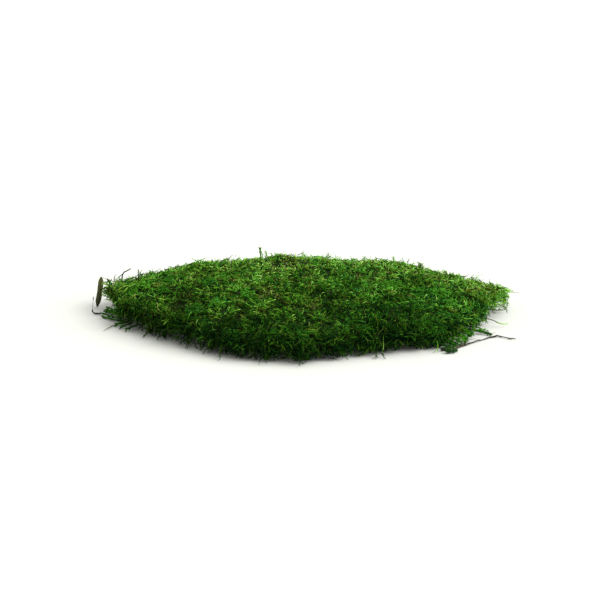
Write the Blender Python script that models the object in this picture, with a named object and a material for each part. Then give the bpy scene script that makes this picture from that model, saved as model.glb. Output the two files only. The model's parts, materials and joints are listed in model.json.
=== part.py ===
"""A clump of sheet moss: a felted mat of shoots lifted off the ground, with the litter at its edge.

Metres, +Z up. The mat rests on its flattened underside at z = 0, with the origin under its middle. +X runs
along its length and -Y is its front edge. Every tuft of shoots is a small peak fused into the mat.
"""

import math
import random

import bmesh
import bpy
from mathutils import Vector, noise
from mathutils.geometry import delaunay_2d_cdt

MM = 0.001

# The mat's widest edge seen from above, anticlockwise from the left corner, in millimetres.
OUTLINE_MM = [
    (-148.5, 31), (-141, 3), (-134, -22), (-104, -53), (-66, -88), (-12, -110), (40, -94), (91, -76),
    (115, -47), (131, -6), (150, 31), (118, 56), (80, 92), (34, 107), (-18, 114), (-82, 98), (-118, 66),
]
EDGE_HEIGHT = 0.0205        # ground to the shoulder of the mat
CORNER_HEIGHT = 0.0100      # the same at the two thin pointed corners
CORNER_REACH = 0.050        # how far in from a corner the mat is thinner
LEFT_CURL = 0.0085          # how far the left corner has curled up off the ground
RIGHT_CURL = 0.0070
CROWN_RISE = 0.0060         # the middle of the mat above its shoulder
CROWN_RUN = 0.045           # how far in from the edge the rise ends
SWELL_HEIGHT = 0.0022       # broad dips and swells of the top
SWELL_LENGTH = 0.045

TUFT_SPACING = 0.0075
TUFT_DEPTH = 0.0032         # tip of a tuft to the pits round it
CLEAR_OF_SHOULDER = 0.72    # least room between the shoulder's tufts and those on top, in tuft spacings
TUFT_SCATTER = 0.0019       # how far a tuft stands off the even lattice
TUFT_UNEVEN = 0.0009        # how much taller or shorter one tuft is than the next
FRINGE_OUT = 0.0030         # how far the tufts of the edge straggle outwards
FRINGE_IN = 0.3             # how far they stand back, as a share of that
GROUND_GAP = 0.0006         # lowest tip of the fringe above the ground

# The rings of tufts round the edge: inset from the outline, and height as a share of the edge's height.
EDGE_RINGS = [
    (0.0022, 0.18),
    (0.0000, 0.56),
    (0.0045, 0.93),
]
RING_UNEVEN = 0.07          # how far a tuft stands above or below its ring, as a share of the edge's height
REST_INSET = 0.0090         # the ground face inside the outline
CORNER_REST_INSET = 0.0240  # the same, added under a curled corner

# Long shoots that stand out of the edge all round, as a share of the edge's tufts and a range of lengths.
FRINGE_SHOOTS = 0.20
FRINGE_SHOOT_LENGTH = (0.0030, 0.0065)
FRINGE_STRAY = 0.5          # how far they turn from straight outwards, as a share of their length
LONG_SHOOT_WIDTH = 0.0013   # half the width of a long shoot where it leaves its tuft

# Tips of the longest shoots, in millimetres: along the back, at the right, along the front, at the left.
LONG_SHOOT_TIPS_MM = [
    (-136, 50, 21.8), (-130, 52, 23.9), (-125, 57, 22.3), (-60, 99, 20.4), (-55.5, 99, 23.6),
    (-36, 108, 26.9), (-31, 110, 22.5), (-3, 113, 22.9), (19, 111, 22.6), (68, 102, 21.2), (74, 100, 19.3),
    (153.5, 30, 11.4), (144, 18, 7.5), (144, 2, 6.5), (141, -22, 3.8), (125.5, -32, 2.6),
    (51, -96, 2.1), (47, -98, 2.1), (26, -101, 3.0), (-4, -113, 2.0), (-28.5, -112, 2.4), (-57, -99, 2.4),
    (-68, -90, 1.6), (-82, -73, 1.7), (-100.5, -55, 1.6), (-110.5, -50, 1.4), (-122.5, -38, 1.4),
    (-132.5, -27, 1.5), (-145, 3, 0.8), (-147.5, 14, 1.5),
]

SLIVER_SIZE = (0.0040, 0.0009, 0.0224)
SLIVER_WIDTHS = (0.30, 0.78, 0.95, 1.0, 1.0, 0.97, 0.95, 0.85, 0.45)    # shares of it from foot to tip
SLIVER_BOW = 0.0005         # how far its middle stands to the right of its ends
SLIVER_FOOT = (-0.1534, 0.0310)
SLIVER_LEAN = (4.0, 8.5)    # degrees back and to the right

# Routes of the roots and the stalk, in millimetres: x, y and height of the middle, and the radius.
ROOTS_MM = {
    "root_left": [
        (-126, 19, 0.9, 0.45), (-131, 17.5, 0.9, 0.45), (-137, 15.5, 0.9, 0.45), (-142, 13, 0.9, 0.45),
        (-147, 10.5, 0.9, 0.50), (-151, 10, 1.0, 0.75), (-153.5, 11, 1.6, 0.65), (-154.3, 12, 4.0, 0.32),
        (-153.8, 12, 9.0, 0.28), (-153.2, 12, 13.2, 0.45),
    ],
    "root_right": [
        (90, -79.0, 1.0, 0.70), (96.8, -77.0, 1.1, 0.82), (102.5, -72.0, 1.1, 0.82), (108, -66.5, 1.1, 0.75),
        (114, -60.0, 0.9, 0.55), (120, -54.5, 0.8, 0.45), (126, -49.5, 0.8, 0.48), (131.5, -46.5, 1.1, 0.80),
        (136, -48, 0.9, 0.48), (140, -52, 0.9, 0.58), (144.5, -53.5, 0.8, 0.32),
    ],
    "root_branch": [
        (117.5, -31.5, 0.9, 0.60), (121.5, -33.5, 1.0, 0.75), (125.5, -38.0, 1.0, 0.70),
        (128.6, -41.8, 0.9, 0.50),
    ],
}
STALKS_MM = {
    "stalk_left": [
        (-129.5, -15.0, 0.7, 0.40), (-132, -16.5, 0.7, 0.45), (-136, -20, 0.8, 0.50), (-139, -27, 0.8, 0.45),
        (-141.5, -35, 0.8, 0.30),
    ],
}
ROOT_SIDES = 1              # curve bevel resolution: six sides

FRAGMENT_SIZE = (0.0088, 0.0036, 0.0027)
FRAGMENT_PLACE = (0.0966, -0.0832)
FRAGMENT_TURN = 14.0        # degrees
FRAGMENT_LUMPS = 7.0        # lumps to its length
FRAGMENT_ROUGHNESS = 0.16

MOSS_COLOUR = (0.045, 0.115, 0.016, 1.0)
BARK_COLOUR = (0.085, 0.058, 0.026, 1.0)
ROOT_COLOUR = (0.052, 0.036, 0.022, 1.0)
STALK_COLOUR = (0.300, 0.270, 0.150, 1.0)
SEED = 21


def clear_scene():
    for obj in list(bpy.data.objects):
        bpy.data.objects.remove(obj, do_unlink=True)


def plain_material(name, colour, roughness):
    material = bpy.data.materials.new(name)
    material.use_nodes = True
    shader = material.node_tree.nodes["Principled BSDF"]
    shader.inputs["Base Color"].default_value = colour
    shader.inputs["Roughness"].default_value = roughness
    material.diffuse_color = colour
    return material


def add_object(name, data, material):
    data.materials.append(material)
    obj = bpy.data.objects.new(name, data)
    bpy.context.collection.objects.link(obj)
    return obj


def smooth_step(value):
    value = min(max(value, 0.0), 1.0)
    return value * value * (3.0 - 2.0 * value)


def smooth_loop(corners, steps):
    """A closed Catmull-Rom curve through the corners, as a list of points."""
    points = []
    count = len(corners)
    for index in range(count):
        before, start, end, after = (corners[(index + k) % count] for k in (-1, 0, 1, 2))
        for step in range(steps):
            t = step / steps
            points.append(0.5 * (
                2.0 * start + (end - before) * t
                + (2.0 * before - 5.0 * start + 4.0 * end - after) * t * t
                + (3.0 * start - before - 3.0 * end + after) * t * t * t
            ))
    return points


def even_loop(points, count, shift):
    """Points the same distance apart along a closed line, starting a share of one step in."""
    lengths = [(points[(i + 1) % len(points)] - p).length for i, p in enumerate(points)]
    step = sum(lengths) / count
    found = []
    walked = 0.0
    wanted = shift * step
    for index, length in enumerate(lengths):
        while walked + length > wanted and len(found) < count:
            share = (wanted - walked) / length
            found.append(points[index].lerp(points[(index + 1) % len(points)], share))
            wanted += step
        walked += length
    return found


OUTLINE = smooth_loop([Vector(corner) * MM for corner in OUTLINE_MM], 24)
LEFT_CORNER = min(OUTLINE, key=lambda p: p.x)
RIGHT_CORNER = max(OUTLINE, key=lambda p: p.x)


def inside_by(point):
    """How far a point stands in from the outline, or below 0 when it is outside."""
    edge = min(OUTLINE, key=lambda place: (place - point).length_squared)
    return math.copysign((edge - point).length, edge.length - point.length)


def inset(point, distance):
    """A point of the outline moved straight towards the middle of the mat."""
    return point * (1.0 - distance / point.length)


def near(point, corner):
    """1 at a corner of the mat, falling to 0 at the corner's reach."""
    return smooth_step(1.0 - (point - corner).length / CORNER_REACH)


def edge_height(point):
    corner = max(near(point, LEFT_CORNER), near(point, RIGHT_CORNER))
    return EDGE_HEIGHT + (CORNER_HEIGHT - EDGE_HEIGHT) * corner


def curl(point):
    return LEFT_CURL * near(point, LEFT_CORNER) + RIGHT_CURL * near(point, RIGHT_CORNER)


def top_height(point):
    rise = CROWN_RISE * smooth_step(inside_by(point) / CROWN_RUN)
    swell = SWELL_HEIGHT * noise.noise(Vector((point.x, point.y, 0.0)) / SWELL_LENGTH)
    return edge_height(point) + curl(point) + rise + swell


def scatter(chance, size):
    return Vector((chance.uniform(-size, size), chance.uniform(-size, size)))


def ring_of_edges(bm, points):
    verts = [bm.verts.new(point) for point in points]
    return [bm.edges.new((vert, verts[index - 1])) for index, vert in enumerate(verts)]


def edge_ring(chance, count, level):
    """The tips of one ring of tufts round the edge of the mat."""
    distance, share = EDGE_RINGS[level]
    points = []
    for middle in even_loop(OUTLINE, count, 0.5 * (level % 2)):
        out = FRINGE_OUT * (chance.random() ** 2 - FRINGE_IN)
        plan = inset(middle + scatter(chance, TUFT_SCATTER), distance - out)
        share_here = share + chance.uniform(-RING_UNEVEN, RING_UNEVEN)
        height = edge_height(middle) * share_here + curl(middle)
        points.append(Vector((plan.x, plan.y, max(height, GROUND_GAP))))
    return points


def rest_ring(count):
    """The edge of the flat face that the mat lies on."""
    points = []
    for middle in even_loop(OUTLINE, count, 0.5):
        curled = max(near(middle, LEFT_CORNER), near(middle, RIGHT_CORNER))
        plan = inset(middle, REST_INSET + CORNER_REST_INSET * curled)
        points.append(Vector((plan.x, plan.y, 0.0)))
    return points


def top_tips(chance, shoulder):
    """Tips of the tufts on top: a jittered triangular lattice that keeps clear of the shoulder's tufts."""
    row_step = TUFT_SPACING * math.sqrt(3.0) / 2.0
    reach = RIGHT_CORNER.x
    tips = []
    for row in range(int(2.0 * reach / row_step)):
        for column in range(int(2.0 * reach / TUFT_SPACING)):
            x = (column + 0.5 * (row % 2)) * TUFT_SPACING - reach
            plan = Vector((x, row * row_step - reach)) + scatter(chance, TUFT_SCATTER)
            crowded = min((plan - tip.xy).length for tip in shoulder) < CLEAR_OF_SHOULDER * TUFT_SPACING
            if crowded or inside_by(plan) < EDGE_RINGS[-1][0]:
                continue
            height = top_height(plan) + chance.gauss(0.0, TUFT_UNEVEN)
            tips.append(Vector((plan.x, plan.y, height)))
    return tips


def fill_top(bm, shoulder_edges, top):
    """Joins the shoulder ring and the tips of the top in one sheet of triangles."""
    shoulder = [edge.verts[0] for edge in shoulder_edges]
    verts = shoulder + top
    loop = [(index, (index + 1) % len(shoulder)) for index in range(len(shoulder))]
    plan = [vert.co.xy for vert in verts]
    triangles = delaunay_2d_cdt(plan, loop, [], 1, 1e-7)[2]
    return [bm.faces.new([verts[index] for index in triangle]) for triangle in triangles]


def join_rings(bm, lower, upper):
    """A band of triangles from one ring up to the next."""
    quads = bmesh.ops.bridge_loops(bm, edges=lower + upper)["faces"]
    return bmesh.ops.triangulate(bm, faces=quads, quad_method="SHORT_EDGE")["faces"]


def raise_tufts(bm, faces):
    """Makes each corner of the faces a tuft: a pit goes in between every three tips, and pits are joined."""
    surface = set(faces)
    between = [
        edge for edge in bm.edges
        if len(edge.link_faces) == 2 and surface.issuperset(edge.link_faces)
    ]
    bmesh.ops.poke(bm, faces=faces, offset=-TUFT_DEPTH)
    bmesh.ops.rotate_edges(bm, edges=between)


def grow_shoot(bm, tuft, end):
    """A slender spike from a tuft's tip to the end of a long shoot."""
    cut = bmesh.ops.bevel(
        bm, geom=[tuft], offset=LONG_SHOOT_WIDTH, offset_type="OFFSET", segments=1, profile=0.5,
        affect="VERTICES", material=-1,
    )
    point = bmesh.ops.poke(bm, faces=cut["faces"])["verts"][0]
    point.co = end


def grow_long_shoots(bm, chance, tips, edge_tips):
    """The longest shoots where they stand, then shorter ones all round the edge."""
    for place in LONG_SHOOT_TIPS_MM:
        end = Vector(place) * MM
        tuft = min(tips, key=lambda vert: (vert.co - end).length)
        tips.remove(tuft)
        grow_shoot(bm, tuft, end)
    for tuft in chance.sample(edge_tips, round(FRINGE_SHOOTS * len(edge_tips))):
        if tuft not in tips:
            continue
        out = Vector((tuft.co.x, tuft.co.y, 0.0)).normalized()
        stray = Vector([chance.uniform(-FRINGE_STRAY, FRINGE_STRAY) for _ in range(3)])
        end = tuft.co + (out + stray).normalized() * chance.uniform(*FRINGE_SHOOT_LENGTH)
        end.z = max(end.z, GROUND_GAP)
        tips.remove(tuft)
        grow_shoot(bm, tuft, end)


def make_mat(material):
    chance = random.Random(SEED)
    bm = bmesh.new()
    around = sum((OUTLINE[index - 1] - point).length for index, point in enumerate(OUTLINE))
    count = round(around / TUFT_SPACING)
    ground = ring_of_edges(bm, rest_ring(count))
    rings = [ring_of_edges(bm, edge_ring(chance, count, level)) for level in range(len(EDGE_RINGS))]
    edge_tips = [edge.verts[0] for ring in rings for edge in ring]
    shoulder = [edge.verts[0].co.copy() for edge in rings[-1]]
    top = [bm.verts.new(tip) for tip in top_tips(chance, shoulder)]
    tufted = fill_top(bm, rings[-1], top)
    for lower, upper in zip(rings, rings[1:]):
        tufted += join_rings(bm, lower, upper)
    join_rings(bm, ground, rings[0])
    bmesh.ops.contextual_create(bm, geom=ground)
    bmesh.ops.recalc_face_normals(bm, faces=bm.faces)
    raise_tufts(bm, tufted)
    grow_long_shoots(bm, chance, edge_tips + top, edge_tips)
    for vert in bm.verts:
        vert.co.z = max(vert.co.z, 0.0)
    mesh = bpy.data.meshes.new("moss_mat")
    bm.to_mesh(mesh)
    bm.free()
    return add_object("moss_mat", mesh, material)


def make_root(name, route, material):
    """A thin root or stalk along its route, tapering as the route says."""
    curve = bpy.data.curves.new(name, "CURVE")
    curve.dimensions = "3D"
    curve.bevel_depth = MM
    curve.bevel_resolution = ROOT_SIDES
    curve.use_fill_caps = True
    spline = curve.splines.new("POLY")
    spline.points.add(len(route) - 1)
    for point, (x, y, z, radius) in zip(spline.points, route):
        point.co = (x * MM, y * MM, z * MM, 1.0)
        point.radius = radius
    return add_object(name, curve, material)


def make_sliver(material):
    """A flake of bark that stands on its narrow end and leans on the curled corner."""
    width, thickness, length = SLIVER_SIZE
    bm = bmesh.new()
    bmesh.ops.create_cube(bm, size=1.0)
    upright = [edge for edge in bm.edges if edge.verts[0].co.z != edge.verts[1].co.z]
    bmesh.ops.subdivide_edges(bm, edges=upright, cuts=7, use_grid_fill=True)
    for vert in bm.verts:
        share = vert.co.z + 0.5
        breadth = width * SLIVER_WIDTHS[round(share * (len(SLIVER_WIDTHS) - 1))]
        bow = SLIVER_BOW * math.sin(math.pi * share)
        vert.co = Vector((vert.co.x * breadth + bow, vert.co.y * thickness, share * length))
    mesh = bpy.data.meshes.new("bark_sliver")
    bm.to_mesh(mesh)
    bm.free()
    sliver = add_object("bark_sliver", mesh, material)
    sliver.location = (*SLIVER_FOOT, GROUND_GAP)
    sliver.rotation_euler = (-math.radians(SLIVER_LEAN[0]), math.radians(SLIVER_LEAN[1]), 0.0)
    return sliver


def make_fragment(material):
    """A loose scrap of moss lying beside the mat."""
    length, width, height = FRAGMENT_SIZE
    bm = bmesh.new()
    bmesh.ops.create_icosphere(bm, subdivisions=3, radius=0.5)
    for vert in bm.verts:
        lump = 1.0 + FRAGMENT_ROUGHNESS * noise.noise(vert.co * FRAGMENT_LUMPS)
        vert.co = Vector((vert.co.x * length, vert.co.y * width, (vert.co.z + 0.5) * height)) * lump
    mesh = bpy.data.meshes.new("moss_fragment")
    bm.to_mesh(mesh)
    bm.free()
    fragment = add_object("moss_fragment", mesh, material)
    fragment.location = (*FRAGMENT_PLACE, GROUND_GAP)
    fragment.rotation_euler.z = math.radians(FRAGMENT_TURN)
    return fragment


def main():
    clear_scene()
    moss = plain_material("moss", MOSS_COLOUR, 0.85)
    bark = plain_material("bark", BARK_COLOUR, 0.80)
    root = plain_material("root", ROOT_COLOUR, 0.70)
    straw = plain_material("straw", STALK_COLOUR, 0.70)
    make_mat(moss)
    make_sliver(bark)
    make_fragment(moss)
    for name, route in ROOTS_MM.items():
        make_root(name, route, root)
    for name, route in STALKS_MM.items():
        make_root(name, route, straw)


main()
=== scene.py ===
"""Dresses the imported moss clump: the felt of old stems, the shoots that grow out of it, and the litter.

Metres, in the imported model's own frame. The mat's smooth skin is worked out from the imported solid.
Every shoot is rooted below that skin and ends on or just over it, so the tips stay where the solid has them.
"""

import json
import math
import random

import bmesh
import bpy
import numpy as np
from bpy.props import FloatProperty, FloatVectorProperty, IntProperty, PointerProperty
from mathutils import Euler, Matrix, Quaternion, Vector, noise
from mathutils.bvhtree import BVHTree
from mathutils.kdtree import KDTree

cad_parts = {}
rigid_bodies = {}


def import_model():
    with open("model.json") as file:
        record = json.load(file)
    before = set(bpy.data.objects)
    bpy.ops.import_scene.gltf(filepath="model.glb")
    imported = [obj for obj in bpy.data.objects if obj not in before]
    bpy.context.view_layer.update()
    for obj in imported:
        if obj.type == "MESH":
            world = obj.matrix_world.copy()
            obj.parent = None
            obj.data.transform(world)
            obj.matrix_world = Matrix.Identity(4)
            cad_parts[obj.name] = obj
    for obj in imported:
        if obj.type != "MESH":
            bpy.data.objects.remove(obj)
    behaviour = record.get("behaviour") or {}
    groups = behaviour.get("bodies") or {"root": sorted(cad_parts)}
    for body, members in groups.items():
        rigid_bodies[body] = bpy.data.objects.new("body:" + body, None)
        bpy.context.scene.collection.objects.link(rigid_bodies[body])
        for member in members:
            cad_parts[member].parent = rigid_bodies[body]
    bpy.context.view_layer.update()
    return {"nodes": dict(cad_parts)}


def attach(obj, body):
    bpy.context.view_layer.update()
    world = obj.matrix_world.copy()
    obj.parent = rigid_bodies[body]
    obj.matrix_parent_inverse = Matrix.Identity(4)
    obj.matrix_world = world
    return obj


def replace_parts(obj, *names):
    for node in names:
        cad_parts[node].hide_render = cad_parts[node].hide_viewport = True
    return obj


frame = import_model()

bl_info = {
    "name": "Moss clump",
    "version": (1, 0, 0),
    "blender": (4, 5, 0),
    "location": "3D View > Sidebar > Moss",
    "description": "Builds a clump of sheet moss shoot by shoot over its packed solid",
    "category": "Object",
}

MM = 0.001
SEED = 7
UP = Vector((0.0, 0.0, 1.0))
REACH_X, REACH_Y = 0.150, 0.110     # half the mat's length and depth
SHOULDER_HEIGHT = 0.020             # where the sides turn into the top

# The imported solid's tufts, and the skin that is drawn over their tips.
TUFT_ROUNDS = 14            # rounds of smoothing that take the tufts off the solid
LOW_TUFT = 0.5 * MM         # a bump lower than this isn't a tuft
HIGH_TUFT = 3.0 * MM        # the most that a tuft lifts the skin
TUFTS_AROUND = 7            # how many neighbouring tufts lift the skin at a place
UNDERSIDE = -0.55           # a normal with less rise than this belongs to the underside
LONG_SHOOT = 0.0055         # a packed tuft that reaches further out than this is a single long shoot
HOLLOW_DEPTH = 3.4 * MM     # the most that shoots follow a hollow between the tufts
TUFT_SPACING = 0.0070       # between the middles of neighbouring tufts of shoots
FELT_SINK = 4.2 * MM        # how far the felt of old stems lies below the skin
FELT_LUMPS = 1.0 * MM

# Where along the edge things change.
RIM_HEIGHT = 9 * MM         # a tuft of the back edge higher than this stands on the rim
RIM_CLEAR = 2.8 * MM        # how far a shoot of the rim may stand clear of the skin
NEAR_FLOOR = 6 * MM
CREST_X = -22 * MM          # the middle of the stretch of rim with the tallest shoots
LEFT_CORNER_X, RIGHT_CORNER_X = -0.120, 0.120

# (length, width) of the thinner shoots.
LOOSE_STRAND = (0.010, 0.00066)
HANGING_STRAND = (0.0095, 0.00055)
DEAD_STEM = (0.015, 0.00036)
CUSHION_SHOOT = (3.6 * MM, 0.70 * MM)
FRAGMENT_SHOOT_LENGTH = 1.8 * MM
UPRIGHT_WIDTH = 0.00085

# The colours of the shoots run along one axis of their map, from the deepest green to dead straw.
MAP_NAME = "OFBake"
TONE_STOPS = (0.0, 0.22, 0.42, 0.60, 0.74, 0.88, 1.0)
MIDDLE_TONE = 0.355
MAP_SIDE_SPREAD = 0.120     # how far the two sides of a shoot lie apart
FADING_FROM = 0.40          # noise above this is a patch of fading shoots
DEAD_SHARE = 0.03           # of the shoots
# Their lightness runs along the other: (place, factor of red, green and blue). The dark bluish low end is
# painted shade among the shoots' feet as well as their darker old stems; the pale top is painted highlights
# on the tips.
LIGHT_STOPS = (
    (0.0, (0.05, 0.05, 0.09)), (0.20, (0.15, 0.15, 0.20)), (0.32, (0.28, 0.29, 0.23)),
    (0.52, (0.69, 0.70, 0.38)), (0.70, (1.20, 1.17, 0.92)), (0.88, (2.45, 2.25, 3.10)),
    (1.0, (4.0, 3.35, 6.8)),
)
# A shoot's lightness from its foot to its tip: the dark foot is its older stem and painted shade down among
# the shoots.
FOOT_LIGHT, TIP_LIGHT = 0.10, 0.95
PATCH_LIGHT = 2.0           # how strongly a patch's lightness counts
PATCH_END = 6.0             # square of the distance, in reaches, past which a patch has no effect
SIDE_SHADE = 1.18           # how much painted shade the low steep sides get, besides their darker old shoots
LIT_SIDE = Vector((0.75, 0.66, 0.0))
FELT_STOPS = (
    (0.30, (0.004, 0.008, 0.003)), (0.50, (0.008, 0.020, 0.005)), (0.62, (0.018, 0.028, 0.008)),
    (0.75, (0.024, 0.018, 0.008)),
)

KNOT_SWELL = 0.22 * MM
SLIVER_SIZE = (3.9 * MM, 0.9 * MM, 22.4 * MM)
SLIVER_LEAN = (math.radians(-4.0), math.radians(8.5), 0.0)
SLIVER_FOOT = Vector((-153.4, 31.0, 0.4)) * MM

FLOOR_REACH = 12.0
WHITE = (1.0, 1.0, 1.0, 1.0)
BACKDROP_STRENGTH = 1.1
CAMERA_AIM = Vector((0.0, 0.0, 0.011))
LENS_LENGTH, LENS_SENSOR = 96.6, 36.0
LENS_SHIFT = (-0.01, 0.00667)
# (spread in degrees, place) of each light.
MAIN_LIGHT = (60, (0.80, -0.22, 0.62))
BACK_LIGHT = (45, (0.20, 0.50, 0.45))

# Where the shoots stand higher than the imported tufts: (middle, radius, push), in millimetres.
CRESTS = (
    ((-20, 68, 27), 18, (0.0, 0.0, 5.2)),
    ((8, 66, 27), 14, (0.0, 0.0, 3.2)),
    ((42, 72, 25), 13, (0.0, 0.0, 1.8)),
    ((62, 76, 22), 22, (0.0, 0.0, 3.6)),
    ((-100, 52, 20), 22, (0.0, 0.0, 1.6)),
    ((-141, 26, 14), 11, (0.0, 0.0, 6.0)),
    ((-147, 22, 13), 8, (-1.5, 0.0, 4.5)),
    ((126, 20, 14), 12, (0.0, 0.0, 1.2)),
)
# Open room beside the sliver of bark and under the curled corner: (middle, radius), in millimetres.
SLIVER_ROOM = ((-152, 29, 13), 4.8)
CORNER_ROOMS = (
    ((-146, 2, 6), 6.5), ((-145, 10, 6), 6.5), ((-144.5, 18, 6.5), 6.5), ((-146, 26, 6), 5.5),
)
ROOMS = (SLIVER_ROOM, *CORNER_ROOMS)

# The mat's patches: (middle, reach along X and Y, change of tone, change of lightness), in millimetres. The
# tone changes are the mat's own; the lightness changes are partly its own and partly painted light and shade,
# lightest at the back rim and the right end.
PATCHES = (
    # the top, from left to right
    ((-127, -14, 20), (4, 8), 0.30, -0.05),
    ((-122, -2, 22), (8, 20), 0.10, 0.22),
    ((-89, -36, 24), (7, 16), 0.25, -0.28),
    ((-76, -6, 27), (5, 14), 0.20, -0.25),
    ((-63, 8, 27), (10, 22), 0.00, 0.12),
    ((-50, -18, 27), (8, 18), 0.02, 0.16),
    ((-21, -57, 27), (14, 22), 0.12, 0.02),
    ((-16, 54, 28), (16, 22), 0.08, 0.20),
    ((-1, -72, 25), (10, 16), 0.14, -0.06),
    ((8, -13, 27), (6, 14), -0.05, -0.20),
    ((32, 9, 27), (6, 16), -0.05, -0.20),
    ((38, -7, 27), (9, 20), -0.08, 0.15),
    ((57, -61, 25), (14, 25), -0.15, -0.22),
    ((80, 18, 26), (7, 18), -0.05, -0.25),
    ((90, -30, 24), (8, 22), -0.10, 0.24),
    ((125, 13, 20), (18, 26), 0.13, 0.26),
    ((142, 22, 14), (18, 24), 0.12, 0.36),
    ((90, 48, 24), (28, 28), 0.15, 0.18),
    ((85, -42, 22), (26, 26), -0.08, 0.12),
    ((10, 85, 25), (60, 24), 0.06, 0.22),
    ((-138, 14, 14), (12, 22), 0.14, 0.28),
    ((123, -12, 17), (6, 10), -0.10, -0.35),
    # the front side, from left to right
    ((-109, -44, 12), (10, 12), 0.05, -0.15),
    ((-112, -52, 4), (22, 16), 0.22, 0.22),
    ((-47, -96, 10), (9, 8), -0.10, -0.15),
    ((-24, -92, 22), (8, 8), -0.05, 0.18),
    ((-3, -102, 18), (6, 8), -0.10, 0.25),
    ((9, -103, 12), (7, 7), -0.10, -0.20),
    ((75, -82, 6), (10, 8), -0.10, -0.15),
    ((87, -70, 18), (8, 10), -0.10, 0.18),
)

# Small cushions of finer, brighter moss: (middle, reach along X and Y in millimetres, tone, light).
CUSHIONS = (
    ((-61, -43, 26), (5.5, 9.0), 0.26, 0.96),
    ((-77, -51, 24), (5.0, 8.0), 0.20, 0.80),
    ((-49, -93, 15), (6.0, 5.0), 0.20, 0.78),
    ((-70, 8, 27), (4.5, 9.0), 0.20, 0.84),
    ((82, -12, 25), (7.0, 12.0), 0.20, 0.84),
    ((95, -12, 25), (7.0, 9.0), 0.30, 0.92),
    ((101, -34, 23), (5.0, 8.0), 0.28, 0.94),
    ((61, 5, 25), (6.0, 9.0), 0.32, 0.95),
    ((-42, -16, 26), (5.0, 9.0), 0.28, 0.90),
    ((-1, -102, 18), (6.0, 5.0), 0.22, 0.64),
    ((82, -75, 16), (5.0, 5.0), 0.24, 0.78),
    ((91, -72, 13), (5.0, 5.0), 0.22, 0.74),
    ((-124, 1, 22), (5.0, 10.0), 0.30, 0.78),
    ((-102, -5, 25), (4.0, 8.0), 0.26, 0.74),
    ((-116, 14, 24), (5.0, 9.0), 0.32, 0.86),
)
CUSHION_MIDDLES = np.array([middle for middle, *_ in CUSHIONS])
CUSHION_REACHES = np.array([(along, deep, along) for _, (along, deep), *_ in CUSHIONS])

# The root at the left end, from under the mat to its bud, in millimetres.
ROOT_LEFT_ROUTE = (
    (-129, 19, 0.8), (-138, 15, 0.8), (-146, 12, 0.8), (-149, 10.5, 1), (-152.5, 10.5, 1),
    (-153.5, 11, 1.5), (-154.5, 11.5, 2.5), (-154, 11.5, 4), (-154, 11.5, 7), (-153.5, 12, 10),
    (-153.5, 12, 12), (-153, 12, 13.5),
)
ROOT_LEFT_RADII = (0.28, 0.28, 0.30, 0.55, 0.62, 0.50, 0.62, 0.20, 0.16, 0.17, 0.40)

# The long root at the right, from under the mat outwards, in millimetres.
ROOT_RIGHT_ROUTE = (
    (90, -79, 0.9), (93.5, -78.5, 1.3), (97, -77, 1.1), (102.5, -72, 1), (105, -69.5, 1.3),
    (108, -66.5, 1), (114, -60.5, 0.9), (117, -57, 1.1), (120, -55, 0.7), (126, -49, 0.9),
    (129, -47.5, 0.8), (131.5, -46, 1.2), (134, -47, 0.8), (136, -48.5, 0.9), (140, -52, 0.8),
    (142, -52, 1), (144.5, -53.5, 0.8),
)
ROOT_RIGHT_RADII = (
    0.60, 0.80, 0.85, 0.80, 0.80, 0.65, 0.42, 0.60, 0.34, 0.50, 0.62, 0.62, 0.50, 0.34, 0.50, 0.42,
)

# The dry stalk at the front left, from under the mat outwards, in millimetres.
STALK_ROUTE = ((-129.5, -15, 0.7), (-132, -16.5, 0.7), (-136, -20, 0.8), (-139, -27, 0.8), (-141.5, -35, 0.8))
STALK_RADII = (0.30, 0.34, 0.38, 0.26)
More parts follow.
